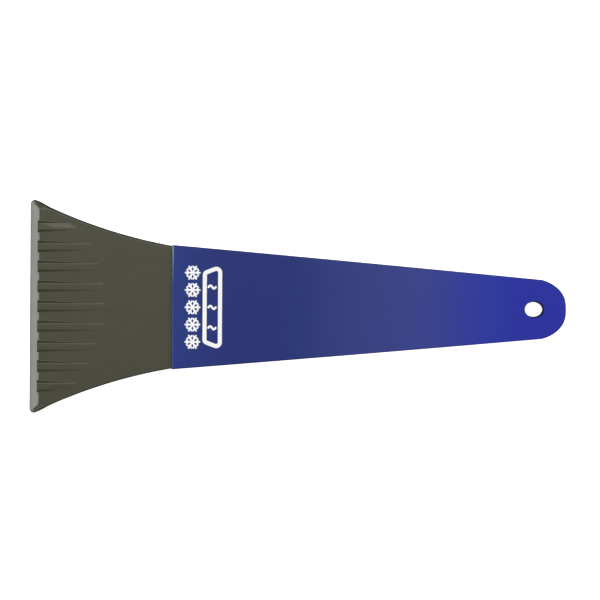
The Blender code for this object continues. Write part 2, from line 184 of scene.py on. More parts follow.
INTO_WALL_DEPTH = INNER_DEPTH + PAST / 2  # where the mouldings end, inside the wall that they stand on
BLIND_BORE_DEPTH = INNER_DEPTH + WALL / 4  # of the screw bores in the front cover
CAVITY_X = MOUTH_X + MOUTH_WALL
REBATE_X = CAVITY_X + PAST
LIP_X = REBATE_X + PAST
LIP_INSET = WALL - LIP_THICKNESS

# Screws and what holds them
BACK_POST_RADIUS = 4.6 * MM
FRONT_POST_RADIUS = 3.4 * MM
POST_STEPS = 48
SCREW_BORE_RADIUS = 1.8 * MM
SCREW_BORE_STEPS = 32
COUNTERBORE_RADIUS = 3.3 * MM
COUNTERBORE_DEPTH = 2.6 * MM
COUNTERBORE_ROUNDING = 0.2 * MM
SCREW_HEAD_RADIUS = 2.9 * MM
SCREW_HEAD_HEIGHT = 1.7 * MM
SCREW_FACE_PARTS = (0.12, 0.2)  # radii of the head's two innermost rings, by its own radius
SCREW_RIM = 0.45 * MM
SCREW_RIM_BREAK = 0.1 * SCREW_RIM
SCREW_STEPS = 48
SCREW_SHANK_RADIUS = 1.3 * MM
THREAD_HEIGHT = 0.35 * MM
THREAD_PITCH = 1.1 * MM
THREAD_HALF_WIDTH = 0.28  # of the pitch
THREAD_FADE = 1.4  # how fast the thread grows from the point, against the point's own taper
SCREW_LENGTH = 6.6 * MM
SCREW_POINT = 1.8 * MM  # its length
SCREW_POINT_PART = 0.2  # radius of the point, by the shank's
RECESS_HALF_LENGTH = 1.5 * MM
RECESS_HALF_WIDTH = 0.38 * MM
RECESS_DEPTH = 0.9 * MM
RECESS_FLARE = 1.25  # how much larger its mouth is than those sizes, and its foot smaller

# Printed mark
INK_LOW_Z = HANDLE_TOP_Z + 0.01 * MM
INK_HIGH_Z = HANDLE_TOP_Z + 0.05 * MM
INK_ROUND_STEPS = 8
FLAKE_COUNT = 5
FLAKE_ARMS = 6
FLAKE_X = MOUTH_X + 10.6 * MM
FLAKE_RADIUS = 4.1 * MM
FLAKE_PITCH = 8.9 * MM
FLAKE_STROKE = 0.95 * MM
BRANCH_STROKE = 0.8 * MM
BRANCH_LEAN = math.radians(56)
BRANCH_FORK = 2.1 * MM
BRANCH_LENGTH = 1.5 * MM
GLASS_X = MOUTH_X + 20.9 * MM
GLASS_NEAR = -5.5 * MM  # its two long sides, from GLASS_X
GLASS_FAR = 4.6 * MM
GLASS_HALVES = (18.4 * MM, 22.2 * MM)  # half the length of each
GLASS_CORNER = 2.8 * MM
GLASS_BOW = 0.9 * MM
GLASS_STROKE = 2.1 * MM
WAVE_COUNT = 3
WAVE_START = -2.1 * MM
WAVE_LENGTH = 3.7 * MM  # along X
WAVE_PITCH = 10.5 * MM
WAVE_HEIGHT = 0.8 * MM
WAVE_STROKE = 1.1 * MM

HEAD_SMOOTH_ANGLE = math.radians(40)
PART_SMOOTH_ANGLE = math.radians(32)
FLAT_SHADING_WEIGHT = 80  # of large faces over small ones
FLANK_CENTRE_Y = HEAD_JOINT_HALF + math.sqrt(FLANK_RADIUS**2 - (HEAD_LENGTH - FLANK_CENTRE_S) ** 2)
FLOOR_SLOPE = HEAD_BASE_Z / HEAD_LENGTH
TOP_SLOPE = (HEAD_TOP_Z - FLAT_THICKNESS - FLOOR_SLOPE * BEVEL_WIDTH) / (HEAD_LENGTH - BEVEL_WIDTH)
HANDLE_TAPER = (MOUTH_HALF - HANDLE_TIP_HALF) / (END_X - MOUTH_X)
HEAD_END_S = HEAD_LENGTH - GAP
HEAD_END_X = EDGE_X + HEAD_END_S
TOUCHING = 1e-7  # points nearer than this are at the same place
LEAST_WIDTH = 1e-9  # keeps a rounding of no width from dividing by zero


# ---- outlines


def inset(points, distance, closed=True):
    """The outline moved inwards; its points run anticlockwise. The ends of an open one move square to it."""
    ring = np.array(points)
    ahead = np.roll(ring, -1, axis=0) - ring
    ahead /= np.linalg.norm(ahead, axis=1)[:, None]
    behind = np.roll(ahead, 1, axis=0)
    if not closed:
        behind[0] = ahead[0]
        ahead[-1] = behind[-1]
    ahead_in = np.stack([-ahead[:, 1], ahead[:, 0]], axis=1)
    behind_in = np.stack([-behind[:, 1], behind[:, 0]], axis=1)
    inward = ahead_in + behind_in
    inward /= (inward * ahead_in).sum(axis=1)[:, None]
    return [tuple(point) for point in ring + distance * inward]


def quarter_turn(steps, first=0):
    return [math.pi / 2 * i / steps for i in range(first, steps + 1)]


def ellipse(x, y, half_x, half_y, steps):
    turns = [2 * math.pi * i / steps for i in range(steps)]
    return [(x + half_x * math.cos(t), y + half_y * math.sin(t)) for t in turns]


def circle(x, y, radius, steps):
    return ellipse(x, y, radius, radius, steps)


def rectangle(x_low, x_high, half_y):
    return [(x_low, -half_y), (x_high, -half_y), (x_high, half_y), (x_low, half_y)]


def handle_half(x):
    """Half the handle's width at x, with the rounded end."""
    along = (x - MOUTH_X) / (END_X - MOUTH_X)
    half = HANDLE_TIP_HALF + HANDLE_TAPER * (END_X - x) + 4 * HANDLE_SIDE_BOW * along * (1 - along)
    into_end = max(0.0, 1 - (END_X - x) / HANDLE_END_LENGTH)
    along_power, across_power = HANDLE_END_POWERS
    return half * max(0.0, 1 - into_end**along_power) ** (1 / across_power)


def handle_side(x_start):
    """The handle's outline from x_start on its -Y side, round the end, to x_start on its +Y side."""
    end_start = END_X - HANDLE_END_LENGTH
    span = end_start - x_start
    lower = [x_start + span * i / HANDLE_SIDE_STEPS for i in range(HANDLE_SIDE_STEPS)]
    for angle in quarter_turn(HANDLE_END_STEPS)[:-1]:
        lower.append(end_start + HANDLE_END_LENGTH * math.sin(angle) ** (2 / HANDLE_END_POWERS[0]))
    side = [(x, -handle_half(x)) for x in lower]
    return side + [(END_X, 0.0)] + [(x, -y) for x, y in reversed(side)]


# ---- mesh helpers


def add_loops(bm, loops):
    """Adds a closed solid through equal loops of 3-D points, with a cap at each end."""
    rings = [[bm.verts.new(point) for point in loop] for loop in loops]
    count = len(rings[0])
    for low, high in zip(rings, rings[1:]):
        for i in range(count):
            j = (i + 1) % count
            bm.faces.new((low[i], low[j], high[j], high[i]))
    bm.faces.new(list(reversed(rings[0])))
    bm.faces.new(rings[-1])


def add_levels(bm, levels):
    """A closed solid through (outline, z) levels whose outlines have equally many points."""
    add_loops(bm, [[(x, y, z) for x, y in outline] for outline, z in levels])


def add_prism(bm, outline, z_low, z_high):
    add_levels(bm, [(outline, z_low), (outline, z_high)])


def add_object(name, bm, material=None):
    """A piece, or a tool that shapes one when it has no material."""
    bmesh.ops.recalc_face_normals(bm, faces=bm.faces)
    mesh = bpy.data.meshes.new(name)
    bm.to_mesh(mesh)
    bm.free()
    piece = bpy.data.objects.new(name, mesh)
    bpy.context.scene.collection.objects.link(piece)
    if material is None:
        piece.hide_render = True
    else:
        mesh.materials.append(material)
    return piece


def add_solid(name, levels, material=None):
    bm = bmesh.new()
    add_levels(bm, levels)
    return add_object(name, bm, material)


def combine(piece, tool, operation):
    """Joins the tool to the piece (UNION) or cuts it away (DIFFERENCE). The tool's own solids may overlap."""
    modifier = piece.modifiers.new(tool.name, "BOOLEAN")
    modifier.operation = operation
    modifier.object = tool
    modifier.solver = "EXACT"
    modifier.use_self = True


def applied(piece):
    """The piece's mesh with its Booleans applied. Their tools are removed."""
    tools = [modifier.object for modifier in piece.modifiers]
    evaluated = piece.evaluated_get(bpy.context.evaluated_depsgraph_get())
    mesh = bpy.data.meshes.new_from_object(evaluated)
    piece.modifiers.clear()
    for tool in tools:
        bpy.data.objects.remove(tool, do_unlink=True)
    return mesh


def settle(piece, angle):
    """Applies the piece's Booleans, and shades it smooth with its flats kept flat."""
    piece.data = applied(piece)
    piece.data.name = piece.name
    piece.data.shade_smooth()
    piece.data.set_sharp_from_angle(angle=angle)
    weighted = piece.modifiers.new("flat_shading", "WEIGHTED_NORMAL")
    weighted.keep_sharp = True
    weighted.weight = FLAT_SHADING_WEIGHT
    return piece


def stand_for(piece, node):
    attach(piece, "root")
    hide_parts(node)


# ---- scraper head


def smooth_min(a, b, width):
    """The lower of two heights, rounded where they differ by less than width."""
    near = np.maximum(width - np.abs(a - b), 0.0) / np.maximum(width, LEAST_WIDTH)
    return np.minimum(a, b) - near**2 * width / 4


def flank_half(s):
    """Half the head's width between its concave flanks, which swell a little behind the corners."""
    place, reach, height = CORNER_SWELL
    arc = FLANK_CENTRE_Y - np.sqrt(FLANK_RADIUS**2 - (s - FLANK_CENTRE_S) ** 2)
    return arc + FLANK_EXTRA + height * np.exp(-(((s - place) / reach) ** 2))


def corner_centre_y():
    lean = math.asin((FLANK_CENTRE_S - CORNER_RADIUS) / FLANK_RADIUS)
    return float(flank_half(CORNER_RADIUS)) - CORNER_RADIUS / math.cos(lean)


def outline_half(s):
    """Half the head's width at s, with the rounded corners of the scraping edge."""
    into_corner = np.clip(CORNER_RADIUS - s, 0.0, CORNER_RADIUS)
    arc = corner_centre_y() + np.sqrt(CORNER_RADIUS**2 - into_corner**2)
    return np.minimum(flank_half(s), arc)


def floor_z(s):
    return FLOOR_SLOPE * s


def plate_z(s):
    return FLAT_THICKNESS + FLOOR_SLOPE * BEVEL_WIDTH + TOP_SLOPE * (s - BEVEL_WIDTH)


def corner_fade(s):
    """1 at the corners of the scraping edge, falling to 0 where the flank's rim reaches its narrow width."""
    return np.clip((RIM_START_S - s) / (RIM_START_S - BEVEL_WIDTH), 0.0, 1.0)


def rim_width(s):
    return RIM_CHAMFER + (CORNER_CHAMFER - RIM_CHAMFER) * corner_fade(s)


def rim_inner_half(s):
    """Where the rim meets the plate or, beside the bevel, where the two chamfers meet in a mitre."""
    mitre_end = flank_half(BEVEL_WIDTH) - CORNER_CHAMFER
    mitre = MITRE_HALF + (mitre_end - MITRE_HALF) * s / BEVEL_WIDTH
    inner = np.where(s < BEVEL_WIDTH, mitre, flank_half(s) - rim_width(s))
    return np.minimum(inner, outline_half(s) - SUPPORT)


def bevel_z(s):
    edge_z = floor_z(s) + EDGE_THICKNESS
    part = s / BEVEL_WIDTH
    bow = 4 * BEVEL_BOW * part * np.maximum(1 - part, 0.0)
    return edge_z + (plate_z(BEVEL_WIDTH) - edge_z) * part + bow


def rim_z(s, y):
    """Height of the plate's rim: a chamfer at the corners that turns into a quarter ellipse behind them."""
    fade = corner_fade(s)
    inner_z = np.where(s < BEVEL_WIDTH, bevel_z(s), plate_z(s))
    full_drop = inner_z - floor_z(s) - EDGE_THICKNESS
    drop = full_drop * fade + RIM_DROP * (1 - fade)
    inner = rim_inner_half(s)
    part = np.clip((outline_half(s) - np.abs(y)) / (outline_half(s) - inner), 0.0, 1.0)
    in_roll = np.minimum(part / (1 - (1 - CORNER_ROLL) * fade), 1.0)
    rolled = 1 - np.sqrt(1 - (1 - in_roll) ** 2)
    sloped = (1 - CORNER_ROLL_DROP) * fade
    return inner_z - drop * (sloped * (1 - part) + (1 - sloped) * rolled)


def base_z(s, y):
    """Height of the plate with its bevel and rims, before the ribs are added."""
    inside = np.minimum(rim_inner_half(s), np.abs(y))
    field = smooth_min(bevel_z(s), plate_z(s), CREASE)
    return np.where(inside < np.abs(y), np.minimum(rim_z(s, y), field), field)


def rib_end_s(y):
    return RIB_END_S - RIB_END_FALL * y**2


def rib_top_z(s, middle):
    fall = RIB_HEIGHT / (rib_end_s(middle) - RIB_FRONT_S)
    return plate_z(s) + RIB_HEIGHT - fall * (s - RIB_FRONT_S)


def facet_line(s, middle):
    """The |y| beyond which an outermost rib's top is trimmed: it runs in from the rib's front corner."""
    opening = np.clip((s - FACET_FRONT_S) / (FACET_FULL_S - FACET_FRONT_S), 0.0, 1.0)
    return abs(middle) + RIB_TOP_HALF - FACET_WIDTH * opening


def rib_z(s, y, middle, outermost):
    """Height of the rib whose middle line is at y = middle, carried on below the plate."""
    off = np.abs(y - middle)
    into_chamfer = np.maximum(y - middle - RIB_TOP_HALF + RIB_CHAMFER, 0.0)
    top = rib_top_z(s, middle) - RIB_CHAMFER_SLOPE * into_chamfer
    if outermost:
        trim = FACET_SLOPE * np.maximum(np.abs(y) - facet_line(s, middle), 0.0)
        top = np.minimum(top, rib_top_z(s, middle) - trim)
    tall = np.clip(rib_top_z(s, middle) - base_z(s, y), 0.0, None)
    side = rib_top_z(s, middle) + (RIB_TOP_HALF - off) / RIB_SIDE_DRAFT
    front = plate_z(RIB_FRONT_S) + RIB_HEIGHT + (s - RIB_FRONT_S) / RIB_FRONT_DRAFT
    z = smooth_min(top, side, np.minimum(RIB_TOP_ROUNDING, ROUNDING_SHARES[0] * tall))
    return smooth_min(z, front, RIB_TOP_ROUNDING)


def head_top_z(s, y):
    """Height of the head's upper side, with the ribs on the plate and the outer edge rounded."""
    z = base_z(s, y)
    for i in range(-RIBS_EACH_SIDE, RIBS_EACH_SIDE + 1):
        middle = i * RIB_PITCH
        rib = rib_z(s, y, middle, abs(i) == RIBS_EACH_SIDE)
        tall = np.clip(rib_top_z(s, middle) - z, 0.0, None)
        z = -smooth_min(-z, -rib, np.minimum(RIB_FOOT_ROUNDING, ROUNDING_SHARES[1] * tall))
    margin = np.minimum(np.minimum(s, outline_half(s) - np.abs(y)), EDGE_ROUNDING) / EDGE_ROUNDING
    return z - EDGE_ROUNDING * (1 - np.sqrt(np.clip(1 - (1 - margin) ** 2, 0.0, 1.0)))


def head_stations():
    """Values of s from the scraping edge to the handle, close together where the surface turns."""
    edge = [EDGE_ROUNDING * part for part in EDGE_STATIONS]
    turns = quarter_turn(CORNER_STEPS, CORNER_FIRST_STEP)
    corner = [CORNER_RADIUS * (1 - math.cos(turn)) for turn in turns]
    front_foot = RIB_FRONT_S - RIB_FRONT_DRAFT * (RIB_HEIGHT + FRONT_LEAD)
    front = [front_foot + FRONT_PITCH * i for i in range(-2, 9)]
    front = [s for s in front if s < RIB_FRONT_S] + [RIB_FRONT_S]
    crease = [RIB_FRONT_S + CREASE_PITCH * i for i in range(1, 8)]
    start = crease[-1] + RIB_STATION_START
    ribs = [start + RIB_STATION_PITCH * i for i in range(RIB_STATIONS)]
    left = HEAD_END_S - ribs[-1]
    rest = [ribs[-1] + left * i / REST_STATIONS for i in range(1, REST_STATIONS + 1)]
    return np.array(edge + corner + BEVEL_STATIONS + front + crease + ribs + rest)


def rib_side_lines(s, middle, side):
    """Lines that follow one side wall of a rib, from its top's middle outwards."""
    held = np.minimum(s, rib_end_s(middle) + RIB_RUN_OUT)
    foot_z = np.minimum(bevel_z(held), plate_z(held))
    tall = np.clip(rib_top_z(held, middle) - foot_z, 0.0, TALLEST_RIB * RIB_HEIGHT)
    wall = np.maximum(RIB_SIDE_DRAFT * tall, NARROWEST_WALL)
    outermost = abs(middle) > (RIBS_EACH_SIDE - 0.5) * RIB_PITCH
    offsets = [reach * MM for reach in FACET_LINES] if outermost else [RIB_TOP_HALF * TOP_LINE_PART]
    offsets += [RIB_TOP_HALF - (RIB_CHAMFER + reach * MM) for reach in CHAMFER_LINES]
    offsets += [RIB_TOP_HALF - reach * MM for reach in CREASE_LINES]
    offsets += [RIB_TOP_HALF + wall * part for part in WALL_LINE_PARTS]
    offsets += [RIB_TOP_HALF + wall + reach * MM for reach in FOOT_LINES]
    stretch = rim_inner_half(s) / rim_inner_half(held)
    return [(middle + side * offset) * stretch for offset in offsets]


def head_lines(s):
    """The y of every line along the head on its +Y side, from the middle rib's top to the outline."""
    lines = [0.0 * s] + rib_side_lines(s, 0.0, 1)
    for i in range(1, RIBS_EACH_SIDE + 1):
        middle = i * RIB_PITCH
        inner_side = rib_side_lines(s, middle, -1)[::-1]
        lines += between(lines[-1], inner_side[0], RIB_GAP_STEPS)
        lines += inner_side
        lines += rib_side_lines(s, middle, 1)
    rim = rim_inner_half(s)
    width = outline_half(s) - rim
    lines += between(lines[-1], rim, RIM_GAP_STEPS)
    return lines + [rim + width * math.sin(turn) for turn in quarter_turn(12)]


def between(low, high, steps):
    return [low + (high - low) * i / steps for i in range(1, steps)]


def make_plate():
    """A grid for the top, whose rim runs down to a rounded edge and a flat floor. Its end wall is open."""
    s = head_stations()
    positive = head_lines(s)
    y = np.array([-line for line in reversed(positive[1:])] + positive)
    s_grid = np.tile(s, (len(y), 1))
    z = head_top_z(s_grid, y)
    bm = bmesh.new()
    grid = []
    for places in zip((EDGE_X + s_grid).tolist(), y.tolist(), z.tolist()):
        grid.append([bm.verts.new(place) for place in zip(*places)])
    for row, next_row in zip(grid, grid[1:]):
        for j in range(len(s) - 1):
            bm.faces.new((row[j], row[j + 1], next_row[j + 1], next_row[j]))
    ring = [row[0] for row in reversed(grid)] + grid[0][1:-1]
    end_wall = range(len(ring), len(ring) + len(grid) - 1)
    ring += [row[-1] for row in grid] + grid[-1][-2:0:-1]
    outline = [(vert.co.x, vert.co.y) for vert in ring]
    above = ring
    for i, angle in enumerate(quarter_turn(4)):
        moved = inset(outline, FLOOR_ROUNDING * (1 - math.cos(angle)))
        rise = FLOOR_ROUNDING * (1 - math.sin(angle))
        below = [bm.verts.new((x, b, floor_z(x - EDGE_X) + rise)) for x, b in moved]
        for k in range(len(ring)):
            j = (k + 1) % len(ring)
            if i > 0 or k not in end_wall:
                bm.faces.new((above[k], above[j], below[j], below[k]))
        above = below
    bm.faces.new(above)
    return bm


def tang_outline():
    """Anticlockwise, from the plate's end to the rounded far corners."""
    root_half = handle_half(MOUTH_X) - WALL - TANG_SIDE_PLAY
    tip_half = handle_half(TANG_END_X) - WALL - TANG_SIDE_PLAY
    lower = [(HEAD_END_X, -root_half)]
    for angle in quarter_turn(12):
        x = TANG_END_X - TANG_CORNER * (1 - math.sin(angle))
        lower.append((x, -tip_half + TANG_CORNER * (1 - math.cos(angle))))
    return lower + [(x, -y) for x, y in reversed(lower)]


def screw_places():
    """The (x, y) of each screw's axis."""
    boxes = [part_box(node) for node in SCREW_NODES]
    return [((low.x + high.x) / 2, (low.y + high.y) / 2) for low, high in boxes]


def at_head_end(item):
    return all(abs(vert.co.x - HEAD_END_X) < TOUCHING for vert in item.verts)


def make_tang():
    """The tang's mesh, with its two holes, open where it grows out of the plate's end."""
    bm = bmesh.new()
    outline = tang_outline()
    half = TANG_THICKNESS / 2
    levels = [(TANG_EDGE, -half), (0.0, TANG_EDGE - half), (0.0, half - TANG_EDGE), (TANG_EDGE, half)]
    add_levels(bm, [(inset(outline, reach), PARTING_Z + z) for reach, z in levels])
    for vert in bm.verts:
        if vert.co.x < HEAD_END_X + 2 * TANG_EDGE:
            vert.co.x = HEAD_END_X
    tang = add_object("head_tang", bm)
    holes = bmesh.new()
    for x, y in screw_places():
        if x < TANG_END_X:
            add_prism(holes, circle(x, y, TANG_HOLE_RADIUS, POST_STEPS), 0.0, HANDLE_TOP_Z)
    combine(tang, add_object("head_tang_holes", holes), "DIFFERENCE")
    mesh = applied(tang)
    bpy.data.objects.remove(tang, do_unlink=True)
    bm = bmesh.new()
    bm.from_mesh(mesh)
    bmesh.ops.delete(bm, geom=[face for face in bm.faces if at_head_end(face)], context="FACES")
    bm.to_mesh(mesh)
    bm.free()
    return mesh


def make_head(material):
    """The plate and the tang, joined by an end wall that fills the flat between their open edges."""
    bm = make_plate()
    bm.from_mesh(make_tang())
    rims = [edge for edge in bm.edges if edge.is_boundary and at_head_end(edge)]
    bmesh.ops.triangle_fill(bm, use_beauty=True, edges=rims, normal=(1.0, 0.0, 0.0))
    head = add_object("ice_scraper_head", bm, material)
    stand_for(settle(head, HEAD_SMOOTH_ANGLE), "scraper_head")


# ---- handle covers


def roll(x, y):
    """How far the front cover's face has rolled down at (x, y), towards the handle's mouth."""
    part = max(0.0, 1 - (x - MOUTH_X) / MOUTH_ROLL_LENGTH)
    lip = max(0.0, 1 - (x - MOUTH_X) / LIP_ROLL_LENGTH)
    share = min(max(0.0, (y - LIP_ROLL_START_Y) / (LIP_ROLL_FULL_Y - LIP_ROLL_START_Y)), 1.0)
    return MOUTH_ROLL * part**2 + LIP_ROLL * share * lip**2


class Cover:
    """One cover of the handle. side is 1 for the front one and -1 for the back one."""

    def __init__(self, name, side, material):
        self.name = name
        self.side = side
        self.material = material

    def z(self, depth):
        return PARTING_Z + self.side * depth

    def prism(self, bm, outline, depth_low, depth_high):
        add_prism(bm, outline, self.z(depth_low), self.z(depth_high))

    def flare(self, bm, outline, radius, depth_low):
        """A cutter that runs out of the face and widens there, so that the hole's edge is rounded."""
        levels = [(outline, self.z(depth_low)), (outline, self.z(PARTING_Z - radius))]
        for turn in quarter_turn(6, 1):
            angle = turn * FLARE_TURN
            depth = PARTING_Z - radius * (1 - math.sin(angle))
            levels.append((inset(outline, -radius * (1 - math.cos(angle))), self.z(depth)))
        top, depth = levels[-1]
        levels.append((inset(top, -radius), self.z(PARTING_Z + radius / 2)))
        add_levels(bm, levels)

    def shell(self, lip):
        """The slab with rounded outer edges, before it is hollowed, with the lip's step on one cover."""
        outline = handle_side(MOUTH_X)
        levels = [(inset(outline, PARTING_EDGE), GAP / 2), (outline, GAP / 2 + PARTING_EDGE)]
        levels.append((outline, PARTING_Z - HANDLE_EDGE_RADIUS - SUPPORT))
        for angle in quarter_turn(8):
            rounding = HANDLE_EDGE_RADIUS * (1 - math.cos(angle))
            depth = PARTING_Z - HANDLE_EDGE_RADIUS * (1 - math.sin(angle))
            levels.append((inset(outline, rounding), depth))
        levels.append((inset(outline, HANDLE_EDGE_RADIUS + SUPPORT), PARTING_Z))
        if lip:
            stepped = inset(handle_side(LIP_X), LIP_INSET, closed=False)
            levels = [(stepped, -LIP_HEIGHT), (stepped, GAP / 2)] + levels
        bm = bmesh.new()
        add_levels(bm, [(points, self.z(depth)) for points, depth in levels])
        if self.side > 0:
            self.roll_mouth(bm)
        return add_object(self.name, bm, self.material)

    def roll_mouth(self, bm):
        """Cuts the slab finely near the mouth, and then rolls its face down there."""
        cuts = [LIP_ROLL_LENGTH * part for part in LIP_CUTS]
        cuts += [MOUTH_ROLL_LENGTH * i / MOUTH_CUTS for i in range(FIRST_MOUTH_CUT, MOUTH_CUTS + 1)]
        for cut in cuts:
            everything = bm.verts[:] + bm.edges[:] + bm.faces[:]
            place = (MOUTH_X + cut, 0, 0)
            bmesh.ops.bisect_plane(bm, geom=everything, plane_co=place, plane_no=(1, 0, 0), dist=TOUCHING)
        rolled_end = MOUTH_X + MOUTH_ROLL_LENGTH
        for i in range(LIP_CUTS_ACROSS + 1):
            y = LIP_ROLL_START_Y + (LIP_ROLL_FULL_Y - LIP_ROLL_START_Y) * i / LIP_CUTS_ACROSS
            faces = [face for face in bm.faces if face.calc_center_median().x < rolled_end]
            edges = {edge for face in faces for edge in face.edges}
            verts = {vert for face in faces for vert in face.verts}
            near = faces + list(edges) + list(verts)
            place = (0, y, 0)
            bmesh.ops.bisect_plane(bm, geom=near, plane_co=place, plane_no=(0, 1, 0), dist=TOUCHING)
        for vert in bm.verts:
            height = (vert.co.z - PARTING_Z) / PARTING_Z
            vert.co.z -= roll(vert.co.x, vert.co.y) * max(0.0, height)

    def cavity(self, rebate):
        """The hollow inside the walls, which is wider near the rim of the cover that takes the lip."""
        inner = inset(handle_side(CAVITY_X), WALL, closed=False)
        levels = [(inner, -LIP_HEIGHT - PAST), (inner, INNER_DEPTH)]
        if rebate:
            wide = inset(handle_side(REBATE_X), LIP_INSET - GAP, closed=False)
            step = LIP_HEIGHT + GAP
            levels = [(wide, -PAST), (wide, step), (inner, step), (inner, INNER_DEPTH)]
        return add_solid(self.name + "_cavity", [(points, self.z(depth)) for points, depth in levels])

    def mouldings(self, post_radius, rib_depth):
        """Posts, collar, clamp pads and stiffening ribs, each run a little into the wall it stands on."""
        bm = bmesh.new()
        for x, y in screw_places():
            self.prism(bm, circle(x, y, post_radius, POST_STEPS), GAP / 2, INTO_WALL_DEPTH)
        half_x, half_y = HANG_HOLE_HALF
        collar = ellipse(HANG_HOLE_X, 0.0, half_x + COLLAR_WALL, half_y + COLLAR_WALL, COLLAR_STEPS)
        self.prism(bm, collar, GAP / 2, INTO_WALL_DEPTH)
        for along in PAD_PLACES:
            x_low = MOUTH_X + along - PAD_LENGTH / 2
            pad = rectangle(x_low, x_low + PAD_LENGTH, handle_half(x_low) - WALL / 2 - PAST)
            self.prism(bm, pad, TANG_THICKNESS / 2 + GAP, INTO_WALL_DEPTH)
        for along in CROSS_RIB_PLACES:
            x_low = MOUTH_X + along - RIB_WALL / 2
            rib = rectangle(x_low, x_low + RIB_WALL, handle_half(x_low) - WALL / 2)
            self.prism(bm, rib, rib_depth, INTO_WALL_DEPTH)
        spine_end = HANG_HOLE_X - half_x - COLLAR_WALL / 2
        spine = rectangle(MOUTH_X + CROSS_RIB_PLACES[0], spine_end, RIB_WALL / 2)
        self.prism(bm, spine, rib_depth + GAP, INTO_WALL_DEPTH)
        return add_object(self.name + "_mouldings", bm)

    def openings(self, bore_depth, counterbore):
        """The slot for the tang, the screw bores and the hang hole."""
        bm = bmesh.new()
        slot_half = handle_half(MOUTH_X) - WALL - TANG_SIDE_PLAY + GAP
        slot = rectangle(MOUTH_X - PAST, CAVITY_X + PAST, slot_half)
        self.prism(bm, slot, -LIP_HEIGHT - PAST, TANG_THICKNESS / 2 + GAP)
        for x, y in screw_places():
            self.prism(bm, circle(x, y, SCREW_BORE_RADIUS, SCREW_BORE_STEPS), -PAST, bore_depth)
            if counterbore:
                mouth = circle(x, y, COUNTERBORE_RADIUS, POST_STEPS)
                self.flare(bm, mouth, COUNTERBORE_ROUNDING, PARTING_Z - COUNTERBORE_DEPTH)
        half_x, half_y = HANG_HOLE_HALF
        if self.side < 0:
            half_x, half_y = half_x - HANG_HOLE_STEP[0], half_y - HANG_HOLE_STEP[1]
        hang_hole = ellipse(HANG_HOLE_X, 0.0, half_x, half_y, HANG_HOLE_STEPS)
        self.flare(bm, hang_hole, HANG_HOLE_ROUNDING, -PAST)
        return add_object(self.name + "_openings", bm)


def make_cover(cover, post_radius, rib_depth, bore_depth):
    """The front cover takes the back one's lip. The screws are sunk in the back cover."""
    front = cover.side > 0
    piece = cover.shell(lip=not front)
    combine(piece, cover.cavity(rebate=front), "DIFFERENCE")
    combine(piece, cover.mouldings(post_radius, rib_depth), "UNION")
    combine(piece, cover.openings(bore_depth, counterbore=not front), "DIFFERENCE")
    stand_for(settle(piece, PART_SMOOTH_ANGLE), cover.name + "_cover")


# ---- screws


def screw_rings(seat_z):
    """(radius for each step, z) from the head's face up to the point, with a helical thread on the shank."""
    face_z = seat_z - SCREW_HEAD_HEIGHT
    centre_part, dome_part = SCREW_FACE_PARTS
    rings = [(centre_part * SCREW_HEAD_RADIUS, face_z)]
    for angle in quarter_turn(8, 1):
        radius = SCREW_HEAD_RADIUS * (dome_part + (1 - dome_part) * math.sin(angle))
        rings.append((radius, face_z + (SCREW_HEAD_HEIGHT - SCREW_RIM) * (1 - math.cos(angle))))
    rings.append((SCREW_HEAD_RADIUS, seat_z - SCREW_RIM_BREAK))
    rings.append((SCREW_HEAD_RADIUS - SCREW_RIM_BREAK, seat_z))
    rings = [([radius] * SCREW_STEPS, z) for radius, z in rings]
    rows = 64
    for row in range(rows + 1):
        rise = SCREW_LENGTH * row / rows
        point = min(1.0, (SCREW_LENGTH - rise) / SCREW_POINT)
        core = SCREW_SHANK_RADIUS * (SCREW_POINT_PART + (1 - SCREW_POINT_PART) * point)
        fade = min(1.0, point * THREAD_FADE, rise / THREAD_PITCH)
        radii = []
        for i in range(SCREW_STEPS):
            turn = (rise / THREAD_PITCH - i / SCREW_STEPS) % 1.0
            crest = max(0.0, 1 - abs(turn - 0.5) / THREAD_HALF_WIDTH)
            radii.append(core + THREAD_HEIGHT * fade * crest)
        rings.append((radii, seat_z + rise))
    return rings


def make_screw_shape(material):
    """One screw on the Z axis, with a cross recess in its head."""
    loops = []
    for radii, z in screw_rings(COUNTERBORE_DEPTH - GAP):
        turns = [2 * math.pi * i / len(radii) for i in range(len(radii))]
        loops.append([(r * math.cos(t), r * math.sin(t), z) for r, t in zip(radii, turns)])
    bm = bmesh.new()
    add_loops(bm, loops)
    screw = add_object("screw", bm, material)
    recess = bmesh.new()
    face_z = COUNTERBORE_DEPTH - GAP - SCREW_HEAD_HEIGHT
    mouth = (RECESS_HALF_LENGTH * RECESS_FLARE, RECESS_HALF_WIDTH * RECESS_FLARE, face_z - PAST)
    foot = (RECESS_HALF_LENGTH / RECESS_FLARE, RECESS_HALF_WIDTH / RECESS_FLARE, face_z + RECESS_DEPTH)
    add_levels(recess, [(rectangle(-long, long, wide), z) for long, wide, z in (mouth, foot)])
    add_levels(recess, [(rectangle(-wide, wide, long), z) for long, wide, z in (mouth, foot)])
    combine(screw, add_object("screw_recess", recess), "DIFFERENCE")
    return settle(screw, PART_SMOOTH_ANGLE)


def make_screws(material):
    """Four screws that share one mesh, each at its own node's place."""
    first = make_screw_shape(material)
    for i, (node, (x, y)) in enumerate(zip(SCREW_NODES, screw_places())):
        screw = first if i == 0 else first.copy()
        screw.name = node.replace("handle_", "") + "_fine"
        screw.location = (x, y, 0.0)
        if i > 0:
            bpy.context.scene.collection.objects.link(screw)
        stand_for(screw, node)


# ---- printed mark


def turned(spoke, angle):
    cos, sin = math.cos(angle), math.sin(angle)
    return Vector((spoke.x * cos - spoke.y * sin, spoke.x * sin + spoke.y * cos))


